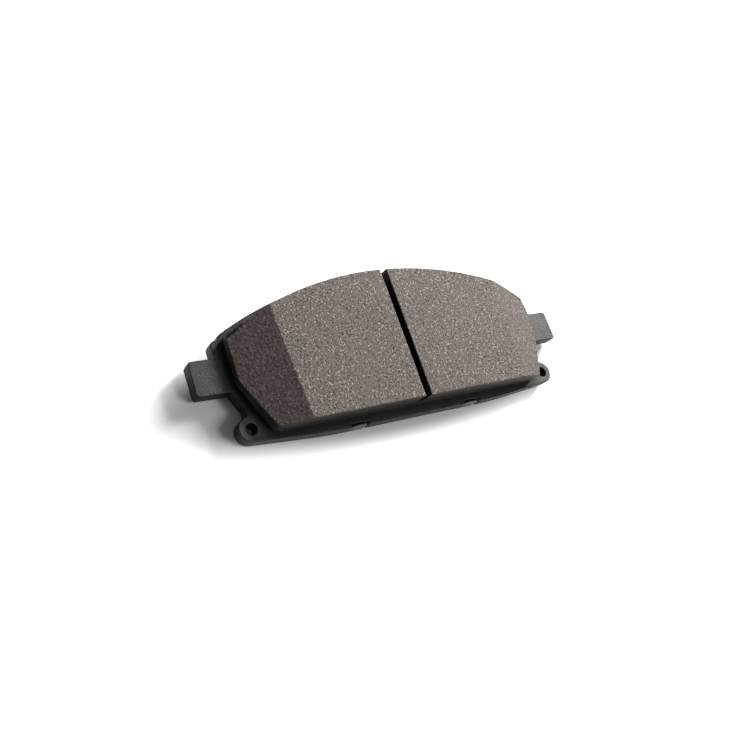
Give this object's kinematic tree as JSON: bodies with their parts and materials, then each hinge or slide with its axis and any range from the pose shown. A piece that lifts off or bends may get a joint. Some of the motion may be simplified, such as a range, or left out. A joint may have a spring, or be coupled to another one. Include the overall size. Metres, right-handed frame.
{
  "type": "disc brake pad",
  "caption": "Disc brake pad: steel backing plate with end lugs and spring-hole lobes, slotted friction blocks with ramped ends on an underlayer, and a damping shim under a clip-on cover.",
  "frame": {"origin": "centre of the pad's outline, on the back of the cover shim", "axes": "+X along the pad, +Y towards the rim of the disc, +Z out of the friction face"},
  "size_m": [0.163, 0.057, 0.0156],
  "materials": {
    "plate_coat": "black powder coat on pressed steel",
    "bond_resin": "cured phenolic bonding film",
    "underlayer": "moulded fibre and resin, painted black on its edges",
    "friction": "ground low-metallic ceramic friction compound",
    "shim_glue": "pressure-sensitive adhesive film",
    "shim_rubber": "thin matt nitrile coat",
    "shim_core": "cold-rolled sheet steel",
    "cover_steel": "thin dark grey coat on sheet steel"
  },
  "bodies": {
    "root": {"backing_plate": "plate_coat", "bond_film": "bond_resin", "underlayer": "underlayer", "friction_block_left": "friction", "friction_block_right": "friction", "shim_glue_film": "shim_glue", "damping_shim_front_coat": "shim_rubber", "damping_shim_core": "shim_core", "damping_shim_back_coat": "shim_rubber", "cover_shim": "cover_steel"}
  },
  "joints": []
}
